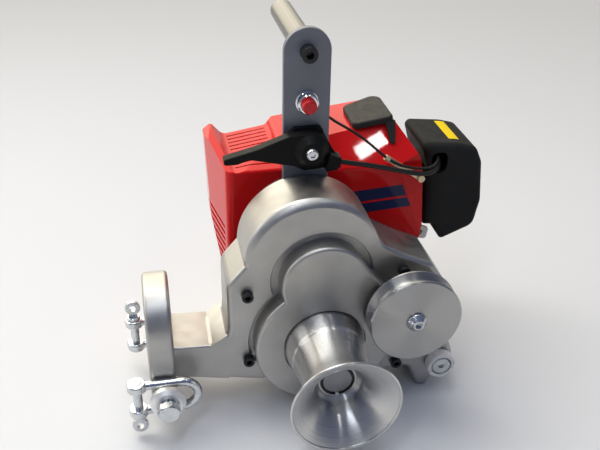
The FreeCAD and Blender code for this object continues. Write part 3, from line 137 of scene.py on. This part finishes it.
def setLamps():
    for name, lamp in lamps.items():
        data = bpy.data.lights.new(name, "AREA")
        data.shape = "RECTANGLE"
        data.size, data.size_y = lamp["size"]
        data.energy = lamp["watts"]
        data.color = lamp["colour"]
        light = bpy.data.objects.new(name, data)
        turn = (Vector(lamp["aim"]) - Vector(lamp["place"])).to_track_quat("-Z", "Y").to_matrix()
        light.matrix_world = Matrix.Translation(lamp["place"]) @ turn.to_4x4()
        scene.collection.objects.link(light)


floorSheet = {"half": 60.0, "colour": (0.615, 0.625, 0.655), "roughness": 0.9}


def setFloor():
    h = floorSheet["half"]
    mesh = bpy.data.meshes.new("floorSheet")
    mesh.from_pydata([(-h, -h, 0), (h, -h, 0), (h, h, 0), (-h, h, 0)], [], [(0, 1, 2, 3)])
    floor = bpy.data.objects.new("floorSheet", mesh)
    material = bpy.data.materials.new("floorPaper")
    material.use_nodes = True
    shader = material.node_tree.nodes["Principled BSDF"]
    shader.inputs["Base Color"].default_value = (*floorSheet["colour"], 1.0)
    shader.inputs["Roughness"].default_value = floorSheet["roughness"]
    mesh.materials.append(material)
    scene.collection.objects.link(floor)


setCamera()
setSky()
setLamps()
setFloor()
scene.view_settings.view_transform = "Standard"
print("camera, sky, lamps and floor set")


# finishes: what all the noises share
noiseShape = {"low": 0.3, "high": 0.7, "mix": (0.32, 0.68), "broadDetail": 3.0, "fineDetail": 2.0,
              "streakScale": 3.7}


def newFinish(name):
    material = bpy.data.materials.new(name)
    material.use_nodes = True
    return material, material.node_tree, material.node_tree.nodes["Principled BSDF"]


def addUp(tree, terms):
    whole = terms[0]
    for term in terms[1:]:
        whole = addNode(tree, "ShaderNodeMath", {0: whole, 1: term}, operation="ADD").outputs[0]
    return whole


def spreadOver(tree, value, low, high):
    # a noise's middle part stretched from low to high
    spread = addNode(tree, "ShaderNodeMapRange", {"Value": value, "From Min": noiseShape["low"],
                                                  "From Max": noiseShape["high"],
                                                  "To Min": low, "To Max": high})
    return spread.outputs["Result"]


def mottled(name, look):
    # two close colours mixed by a broad noise, roughness spread by a second noise, bump from a fine one;
    # ribs, where a look has them, are sine waves along x added to the bump
    material, tree, shader = newFinish(name)
    coords = addNode(tree, "ShaderNodeTexCoord").outputs["Object"]
    fine = noiseShape["fineDetail"]
    patch = addNode(tree, "ShaderNodeTexNoise", {"Vector": coords, "Scale": look["patch"],
                                                 "Detail": noiseShape["broadDetail"]})
    ramp = addNode(tree, "ShaderNodeValToRGB", {"Fac": patch.outputs["Fac"]})
    fillRamp(ramp, zip(noiseShape["mix"], (look["dark"], look["light"])))
    tree.links.new(ramp.outputs["Color"], shader.inputs["Base Color"])
    streak = addNode(tree, "ShaderNodeTexNoise", {"Vector": coords, "Detail": fine,
                                                  "Scale": look["patch"] * noiseShape["streakScale"]})
    tree.links.new(spreadOver(tree, streak.outputs["Fac"], *look["rough"]), shader.inputs["Roughness"])
    grain = addNode(tree, "ShaderNodeTexNoise", {"Vector": coords, "Scale": look["grain"], "Detail": fine})
    height = grain.outputs["Fac"]
    if "ribs" in look:
        wave = addNode(tree, "ShaderNodeTexWave", {"Vector": coords, "Scale": look["ribs"]})
        height = addUp(tree, [height, wave.outputs["Fac"]])
    bump = addNode(tree, "ShaderNodeBump", {"Height": height, "Distance": look["depth"]})
    tree.links.new(bump.outputs["Normal"], shader.inputs["Normal"])
    shader.inputs["Metallic"].default_value = look.get("metal", 0.0)
    shader.inputs["Specular IOR Level"].default_value = look.get("shine", 0.5)
    shader.inputs["Subsurface Weight"].default_value = look.get("soft", 0.0)
    shader.inputs["Subsurface Scale"].default_value = look.get("softDepth", 0.002)
    return material


plainLooks = {
    "cast_alloy": {"light": (0.47, 0.46, 0.441), "dark": (0.40, 0.394, 0.382), "metal": 1.0,
                   "rough": (0.38, 0.48), "patch": 24.0, "grain": 1500.0, "depth": 0.00005},
    "gear_steel": {"light": (0.24, 0.24, 0.25), "dark": (0.19, 0.19, 0.20), "metal": 1.0,
                   "rough": (0.26, 0.36), "patch": 60.0, "grain": 2200.0, "depth": 0.00001},
    "wheel_iron": {"light": (0.30, 0.30, 0.30), "dark": (0.22, 0.22, 0.22), "metal": 1.0,
                   "rough": (0.5, 0.62), "patch": 50.0, "grain": 1400.0, "depth": 0.00010},
    "zinc_steel": {"light": (0.66, 0.68, 0.70), "dark": (0.56, 0.58, 0.60), "metal": 1.0,
                   "rough": (0.20, 0.30), "patch": 130.0, "grain": 1800.0, "depth": 0.000006},
    "black_screw": {"light": (0.016, 0.016, 0.018), "dark": (0.009, 0.009, 0.011), "metal": 0.2,
                    "rough": (0.28, 0.40), "patch": 160.0, "grain": 2600.0, "depth": 0.00001, "shine": 0.4},
    "strap_paint": {"light": (0.150, 0.158, 0.185), "dark": (0.130, 0.138, 0.163), "metal": 0.3,
                    "rough": (0.36, 0.46), "patch": 18.0, "grain": 1700.0, "depth": 0.00002},
    "black_plastic": {"light": (0.010, 0.010, 0.0095), "dark": (0.007, 0.007, 0.007), "shine": 0.07,
                      "rough": (0.34, 0.46), "patch": 26.0, "grain": 1900.0, "depth": 0.00003},
    "black_rubber": {"light": (0.014, 0.0135, 0.0125), "dark": (0.010, 0.010, 0.0095), "shine": 0.3,
                     "rough": (0.46, 0.60), "patch": 40.0, "grain": 1500.0, "depth": 0.00004},
    "white_nylon": {"light": (0.80, 0.80, 0.79), "dark": (0.74, 0.74, 0.73), "rough": (0.36, 0.46),
                    "patch": 120.0, "grain": 1500.0, "depth": 0.00001, "soft": 0.15},
    "tank_plastic": {"light": (0.66, 0.64, 0.575), "dark": (0.60, 0.58, 0.52), "rough": (0.40, 0.52),
                     "patch": 12.0, "grain": 900.0, "depth": 0.00004, "soft": 0.2, "softDepth": 0.004},
    "switch_chrome": {"light": (0.76, 0.77, 0.79), "dark": (0.70, 0.71, 0.73), "metal": 1.0,
                      "rough": (0.08, 0.15), "patch": 200.0, "grain": 2500.0, "depth": 0.000004},
    "button_red": {"light": (0.52, 0.010, 0.013), "dark": (0.45, 0.008, 0.011), "rough": (0.28, 0.38),
                   "patch": 150.0, "grain": 2000.0, "depth": 0.00001, "shine": 0.35},
    "lining": {"light": (0.20, 0.13, 0.08), "dark": (0.12, 0.085, 0.06), "rough": (0.8, 0.95),
               "patch": 400.0, "grain": 1500.0, "depth": 0.0002},
    "gasket_paper": {"light": (0.36, 0.36, 0.30), "dark": (0.28, 0.28, 0.23), "rough": (0.8, 0.92),
                     "patch": 200.0, "grain": 2600.0, "depth": 0.0001},
    "filter_foam": {"light": (0.10, 0.10, 0.11), "dark": (0.03, 0.03, 0.035), "rough": (0.9, 1.0),
                    "patch": 700.0, "grain": 900.0, "depth": 0.0008},
    "clip_steel": {"light": (0.66, 0.55, 0.37), "dark": (0.56, 0.46, 0.30), "metal": 0.6,
                   "rough": (0.34, 0.46), "patch": 140.0, "grain": 2000.0, "depth": 0.00001},
}
finishes = {name: mottled(name + "_finish", look) for name, look in plainLooks.items()}

capLook = dict(plainLooks["black_rubber"], light=(0.020, 0.019, 0.017), dark=(0.015, 0.0145, 0.0135),
               shine=0.2, ribs=150.0, depth=0.00008)
capRubber = mottled("plug_cap_finish", capLook)
spoolLook = dict(plainLooks["zinc_steel"], light=(0.88, 0.88, 0.86), dark=(0.80, 0.80, 0.785),
                 rough=(0.44, 0.54))
spoolSatin = mottled("anchor_spool_finish", spoolLook)

# pull is the anisotropy, across its turn, and marks the noise's scale along u and v
drumLook = {"light": (0.62, 0.614, 0.60), "dark": (0.55, 0.547, 0.538), "rough": (0.26, 0.34),
            "pull": 0.96, "across": 0.25, "marks": (0.0, 1800.0, 0.0), "depth": 0.000002}
faceLook = {"light": (0.48, 0.474, 0.462), "dark": (0.40, 0.396, 0.388), "rough": (0.30, 0.40),
            "pull": 0.96, "across": 0.25, "marks": (0.0, 1800.0, 0.0), "depth": 0.000002}
tubeLook = {"light": (0.28, 0.274, 0.263), "dark": (0.11, 0.108, 0.104), "rough": (0.30, 0.40),
            "pull": 0.5, "across": 0.0, "marks": (44.0, 0.0, 0.0), "depth": 0.000002}
plainMarks = 1800.0  # the noise's scale on a piece that has no UV map


def turnedFinish(name, look, withUv=True):
    # fine marks: a noise squeezed to lines, round the piece or along it, tints, roughens and bumps the
    # metal; the highlight is drawn out across the marks by the shader's anisotropy on the piece's own UV map
    material, tree, shader = newFinish(name)
    if withUv:
        uv = addNode(tree, "ShaderNodeUVMap", uv_map="turning").outputs["UV"]
        vector = addNode(tree, "ShaderNodeVectorMath", {0: uv, 1: look["marks"]},
                         operation="MULTIPLY").outputs["Vector"]
        tangent = addNode(tree, "ShaderNodeTangent", direction_type="UV_MAP", uv_map="turning")
        tree.links.new(tangent.outputs["Tangent"], shader.inputs["Tangent"])
        shader.inputs["Anisotropic"].default_value = look["pull"]
        shader.inputs["Anisotropic Rotation"].default_value = look["across"]
    else:
        vector = addNode(tree, "ShaderNodeTexCoord").outputs["Object"]
    rings = addNode(tree, "ShaderNodeTexNoise", {"Vector": vector, "Scale": 1.0 if withUv else plainMarks,
                                                 "Detail": noiseShape["broadDetail"]})
    ramp = addNode(tree, "ShaderNodeValToRGB", {"Fac": rings.outputs["Fac"]})
    fillRamp(ramp, [(noiseShape["low"], look["dark"]), (noiseShape["high"], look["light"])])
    tree.links.new(ramp.outputs["Color"], shader.inputs["Base Color"])
    tree.links.new(spreadOver(tree, rings.outputs["Fac"], *look["rough"]), shader.inputs["Roughness"])
    bump = addNode(tree, "ShaderNodeBump", {"Height": rings.outputs["Fac"], "Distance": look["depth"]})
    tree.links.new(bump.outputs["Normal"], shader.inputs["Normal"])
    shader.inputs["Metallic"].default_value = 1.0
    return material


finishes["turned_alloy"] = turnedFinish("turned_alloy_plain", faceLook, withUv=False)
finishes["tube_alloy"] = turnedFinish("tube_alloy_plain", tubeLook, withUv=False)
drumRings = turnedFinish("drum_alloy_rings", drumLook)
pulleyRings = turnedFinish("pulley_alloy_rings", faceLook)
drawnTube = turnedFinish("tube_alloy_rings", tubeLook)


def bandMask(tree, value, low, high):
    # 1 where value lies between low and high, else 0
    above = addNode(tree, "ShaderNodeMath", {0: value, 1: low}, operation="GREATER_THAN").outputs[0]
    below = addNode(tree, "ShaderNodeMath", {0: value, 1: high}, operation="LESS_THAN").outputs[0]
    return addNode(tree, "ShaderNodeMath", {0: above, 1: below}, operation="MULTIPLY").outputs[0]


def allOf(tree, masks):
    whole = masks[0]
    for mask in masks[1:]:
        whole = addNode(tree, "ShaderNodeMath", {0: whole, 1: mask}, operation="MULTIPLY").outputs[0]
    return whole


def leaning(tree, parts, weights):
    # x, y and z, each times its weight, added up
    terms = [addNode(tree, "ShaderNodeMath", {0: parts.outputs[i], 1: w}, operation="MULTIPLY").outputs[0]
             for i, w in enumerate(weights)]
    return addUp(tree, terms)


def mixColours(tree, factor, first, second):
    mix = addNode(tree, "ShaderNodeMix", {0: factor, 6: first, 7: (*second, 1.0)}, data_type="RGBA")
    return mix.outputs[2]


redLook = {"light": (0.60, 0.010, 0.011), "dark": (0.55, 0.008, 0.009), "rough": (0.020, 0.035),
           "patch": 9.0, "grain": 300.0, "depth": 0.000002, "shine": 0.15,
           "navy": (0.016, 0.022, 0.070), "front": 0.0172, "slope": 0.07, "rightEdge": 0.1597, "cut": 0.42,
           "bands": [(0.1627, 0.1742), (0.1507, 0.1605)], "from": 0.100}


def redFinish():
    # glossy moulded red with two plain navy bands on the front wall; a band lies between two lines
    # z - slope x, and ends at the slanted line x + cut z
    material = mottled("red_plastic_finish", redLook)
    tree = material.node_tree
    shader = tree.nodes["Principled BSDF"]
    red = shader.inputs["Base Color"].links[0].from_socket
    coords = addNode(tree, "ShaderNodeTexCoord").outputs["Object"]
    parts = addNode(tree, "ShaderNodeSeparateXYZ", {"Vector": coords})
    height = leaning(tree, parts, (-redLook["slope"], 0.0, 1.0))
    along = leaning(tree, parts, (1.0, 0.0, redLook["cut"]))
    either = addUp(tree, [bandMask(tree, height, *band) for band in redLook["bands"]])
    mask = allOf(tree, [either, bandMask(tree, along, redLook["from"], redLook["rightEdge"]),
                        bandMask(tree, parts.outputs["Y"], 0.0, redLook["front"])])
    tree.links.new(mixColours(tree, mask, red, redLook["navy"]), shader.inputs["Base Color"])
    return material


finishes["red_plastic"] = redFinish()

coverLook = dict(plainLooks["black_plastic"], light=(0.026, 0.026, 0.025), dark=(0.020, 0.020, 0.0195),
                 shine=0.02, yellow=(0.74, 0.53, 0.01), X=(0.1377, 0.1479), Y=(0.0505, 0.0925),
                 Z=(0.19, 0.25))


def coverFinish():
    # the black moulding's finish with one plain yellow patch on its top
    material = mottled("filter_cover_finish", coverLook)
    tree = material.node_tree
    shader = tree.nodes["Principled BSDF"]
    black = shader.inputs["Base Color"].links[0].from_socket
    coords = addNode(tree, "ShaderNodeTexCoord").outputs["Object"]
    parts = addNode(tree, "ShaderNodeSeparateXYZ", {"Vector": coords})
    mask = allOf(tree, [bandMask(tree, parts.outputs[axis], *coverLook[axis]) for axis in "XYZ"])
    tree.links.new(mixColours(tree, mask, black, coverLook["yellow"]), shader.inputs["Base Color"])
    return material


coverBlack = coverFinish()
for name, node in nodes.items():
    node.material_slots[0].material = finishes[node.material_slots[0].material.name]
nodes["filter_cover"].material_slots[0].material = coverBlack
nodes["plug_cap"].material_slots[0].material = capRubber
nodes["anchor_spools"].material_slots[0].material = spoolSatin
print("finishes made:", len(finishes))


# turned pieces: an edge between faces that differ by more than this many degrees stays sharp
sharpEdge = 32.0


def addPiece(name, mesh, finish, body, slot, *stands):
    mesh.materials.append(finish)
    piece = bpy.data.objects.new(name, mesh)
    scene.collection.objects.link(piece)
    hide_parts(*stands)
    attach(piece, body)


def alongLine(a, b, count=2):
    # count points from a to b, the last left out so the next stretch can start there
    t = np.linspace(0, 1, count, endpoint=False)[:, None]
    return np.asarray(a, float) * (1 - t) + np.asarray(b, float) * t


def alongArc(a, mid, b, count):
    # circle through three points: its centre lies on the chords' bisectors, and equal angle steps lead from a
    # through mid to b
    a, mid, b = (np.asarray(p, float) for p in (a, mid, b))
    centre = np.linalg.solve(2 * np.array([mid - a, b - a]), np.array([mid @ mid - a @ a, b @ b - a @ a]))
    start, half, stop = (math.atan2(*(p - centre)[::-1]) for p in (a, mid, b))
    span = (stop - start) % (2 * math.pi)
    if (half - start) % (2 * math.pi) > span:
        span -= 2 * math.pi
    t = start + span * np.linspace(0, 1, count, endpoint=False)
    return centre + np.linalg.norm(a - centre) * np.stack([np.cos(t), np.sin(t)], 1)


def latheMesh(name, centre, profile, columns):
    # a closed profile of (r, y) turned about the Y line through centre (x, z): x + r cos t, y, z + r sin t;
    # u counts the turn and v the length along the profile in metres
    profile = np.asarray(profile, float)
    n = len(profile)
    t = np.arange(columns) * 2 * math.pi / columns
    steps = np.linalg.norm(np.roll(profile, -1, 0) - profile, axis=1)
    length = np.concatenate([[0.0], np.cumsum(steps)]) / 1000.0
    i, j = (grid.ravel() for grid in np.meshgrid(np.arange(n), np.arange(columns), indexing="ij"))
    down, over = (i + 1) % n, (j + 1) % columns
    quads = np.stack([i * columns + j, i * columns + over, down * columns + over, down * columns + j], 1)
    uv = np.stack([np.stack([j, j + 1, j + 1, j], 1) / columns, length[np.stack([i, i, i + 1, i + 1], 1)]], 2)
    after = np.roll(profile, -1, 0)
    area = np.sum(profile[:, 0] * after[:, 1] - after[:, 0] * profile[:, 1])
    if area < 0:  # faces look outwards whichever way the profile runs
        quads, uv = quads[:, ::-1], uv[:, ::-1]
    x, z = centre
    r, y = profile[:, :1], profile[:, 1:]
    turn = np.stack([x + r * np.cos(t), y + 0 * t, z + r * np.sin(t)], 2)
    return gridMesh(name, toRow(turn.reshape(-1, 3)), quads, uv.reshape(-1, 2))


def gridMesh(name, points, faces, uv):
    mesh = bpy.data.meshes.new(name)
    mesh.vertices.add(len(points))
    mesh.vertices.foreach_set("co", points.ravel())
    mesh.loops.add(faces.size)
    mesh.loops.foreach_set("vertex_index", faces.ravel())
    mesh.polygons.add(len(faces))
    mesh.polygons.foreach_set("loop_start", np.arange(0, faces.size, faces.shape[1]))
    mesh.polygons.foreach_set("use_smooth", np.ones(len(faces), bool))
    mesh.uv_layers.new(name="turning").data.foreach_set("uv", uv.ravel())
    mesh.update(calc_edges=True)
    mesh.validate()
    mesh.set_sharp_from_angle(angle=math.radians(sharpEdge))
    return mesh


# the drum's corners are (r, y) in drawing millimetres, from the housing's face out to the mouth
drum = {"columns": 160, "bore": 13.0, "base": (35.0, 3.0), "step": (34.7, -2.0), "shoulder": (32.5, -18.0),
        "under": (31.7, -19.0), "belly": (29.75, -31.0), "waist": (29.0, -44.0), "mouth": (45.5, -78.5),
        "lip": (44.3, -79.7), "inner": (43.1, -78.5), "cup": (26.3, -64.3), "seat": (19.6, -49.8),
        "floor": (16.0, -46.0)}


def flareMiddle():
    # the flare leaves the waist along the axis: a circle about (waist r + flare, waist y) through the mouth
    (waistR, waistY), (mouthR, mouthY) = drum["waist"], drum["mouth"]
    flare = ((mouthR - waistR) ** 2 + (mouthY - waistY) ** 2) / (2 * (mouthR - waistR))
    half = math.asin((waistY - mouthY) / flare) / 2
    return waistR + flare * (1 - math.cos(half)), waistY - flare * math.sin(half)


def drumProfile():
    back, front = (drum["bore"], drum["base"][1]), (drum["bore"], drum["floor"][1])
    return np.concatenate([
        alongLine(back, drum["base"]),
        alongLine(drum["base"], drum["step"]),
        alongLine(drum["step"], drum["shoulder"], 6),
        alongLine(drum["shoulder"], drum["under"]),
        alongArc(drum["under"], drum["belly"], drum["waist"], 14),
        alongArc(drum["waist"], flareMiddle(), drum["mouth"], 30),
        alongArc(drum["mouth"], drum["lip"], drum["inner"], 10),
        alongArc(drum["inner"], drum["cup"], drum["seat"], 30),
        alongLine(drum["seat"], drum["floor"], 4),
        alongLine(drum["floor"], front),
        alongLine(front, back),
    ])


addPiece("ropeDrum", latheMesh("ropeDrum", (0.0, 0.0), drumProfile(), drum["columns"]), drumRings,
         "capstan", "turned_alloy", "capstan_drum")

# the pulley's faces lie at front and back along y, and its groove narrows from r to root
pulley = {"columns": 144, "at": (73.0, 32.2), "front": -22.5, "back": -4.5, "r": 40.0, "root": 33.5,
          "bore": 13.0, "hole": 6.5, "floor": 5.0, "chamfer": 1.0, "lip": 2.4, "slant": 5.7, "bend": 0.9}


def pulleyProfile():
    p = pulley
    y0, y1, r = p["front"], p["back"], p["r"]
    shoulder = p["root"] + p["bend"]
    return np.concatenate([
        alongLine((p["bore"], y0 + p["floor"]), (p["bore"], y1)),
        alongLine((p["bore"], y1), (r - p["chamfer"], y1), 8),
        alongLine((r - p["chamfer"], y1), (r, y1 - p["chamfer"])),
        alongLine((r, y1 - p["chamfer"]), (r, y1 - p["lip"])),
        alongLine((r, y1 - p["lip"]), (shoulder, y1 - p["slant"]), 4),
        alongArc((shoulder, y1 - p["slant"]), (p["root"], (y0 + y1) / 2), (shoulder, y0 + p["slant"]), 12),
        alongLine((shoulder, y0 + p["slant"]), (r, y0 + p["lip"]), 4),
        alongLine((r, y0 + p["lip"]), (r, y0 + p["chamfer"])),
        alongLine((r, y0 + p["chamfer"]), (r - p["chamfer"], y0)),
        alongLine((r - p["chamfer"], y0), (p["hole"], y0), 16),
        alongLine((p["hole"], y0), (p["hole"], y0 + p["floor"])),
        alongLine((p["hole"], y0 + p["floor"]), (p["bore"], y0 + p["floor"])),
    ])


addPiece("guidePulley", latheMesh("guidePulley", pulley["at"], pulleyProfile(), pulley["columns"]),
         pulleyRings, "pulley", "turned_alloy", "rope_pulley")

# the handle tube is solid for the length of its plug, and hollow from there to its far end
tube = {"columns": 96, "at": (-7.5, 242.4), "ends": (67.0, 179.0), "r": 10.0, "inner": 8.0, "bore": 4.02,
        "plug": 22.0, "chamfer": 0.8}


def tubeProfile():
    y0, y1 = tube["ends"]
    r, c = tube["r"], tube["chamfer"]
    corners = [(tube["bore"], y0), (r - c, y0), (r, y0 + c), (r, y1 - c), (r - c, y1), (tube["inner"], y1),
               (tube["inner"], y0 + tube["plug"]), (tube["bore"], y0 + tube["plug"])]
    return np.concatenate([alongLine(a, b, 6) for a, b in zip(corners, corners[1:] + corners[:1])])


addPiece("carryTube", latheMesh("carryTube", tube["at"], tubeProfile(), tube["columns"]), drawnTube,
         "frame", "tube_alloy", "handle_tube")
print("turned pieces made")


# cords: the routes' points are a spline's control points
cable = {"r": 0.0022, "route": [
    (20.9, 55, 148.5), (31, 56.5, 145.3), (44, 60, 141.2), (54, 63, 137.4), (64, 66, 133.5),
    (74.5, 68.5, 129.4), (84.5, 70.8, 125.7), (93, 72.4, 122.8), (102, 73.6, 120.6), (110, 76.4, 119.4),
    (116.5, 81.8, 118.9), (121.5, 88.8, 118.6), (125, 96.4, 118.4), (127.4, 103.4, 118.3)]}
stopLead = {"r": 0.0012, "route": [
    (-7.5, 80.4, 201), (-7.5, 87, 200.3), (-5, 93.2, 196.8), (0, 96.4, 191.2), (6.5, 95.6, 184.6),
    (13, 91, 178.6), (20.5, 84.6, 173.2), (31, 79.6, 168), (42, 75.4, 161.6), (51, 72.8, 154.4),
    (59, 71.8, 147), (67.3, 72, 139.6), (75.5, 73, 133.4), (84.5, 74.2, 129.2), (94, 75, 126.4),
    (103, 76.2, 124.4), (110.5, 79.2, 123.4), (117, 84.6, 122.9), (121.8, 91.2, 122.6), (125, 98, 122.4),
    (127.2, 104.2, 122.3)]}
cordDrawing = {"sides": 5, "perSpan": 10, "order": 3}


def addCord(name, cord, node):
    curve = bpy.data.curves.new(name, "CURVE")
    curve.dimensions = "3D"
    curve.bevel_depth = cord["r"]
    curve.bevel_resolution = cordDrawing["sides"]
    curve.resolution_u = cordDrawing["perSpan"]
    curve.use_fill_caps = True
    spline = curve.splines.new("NURBS")
    points = toRow(cord["route"])
    spline.points.add(len(points) - 1)
    spline.points.foreach_set("co", np.concatenate([points, np.ones((len(points), 1))], 1).ravel())
    spline.order_u = cordDrawing["order"]
    spline.use_endpoint_u = True
    curve.materials.append(finishes["black_rubber"])
    piece = bpy.data.objects.new(name, curve)
    scene.collection.objects.link(piece)
    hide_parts(node)
    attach(piece, "frame")


addCord("throttleCable", cable, "throttle_cable")
addCord("stopLead", stopLead, "stop_wire")
print("cords laid")
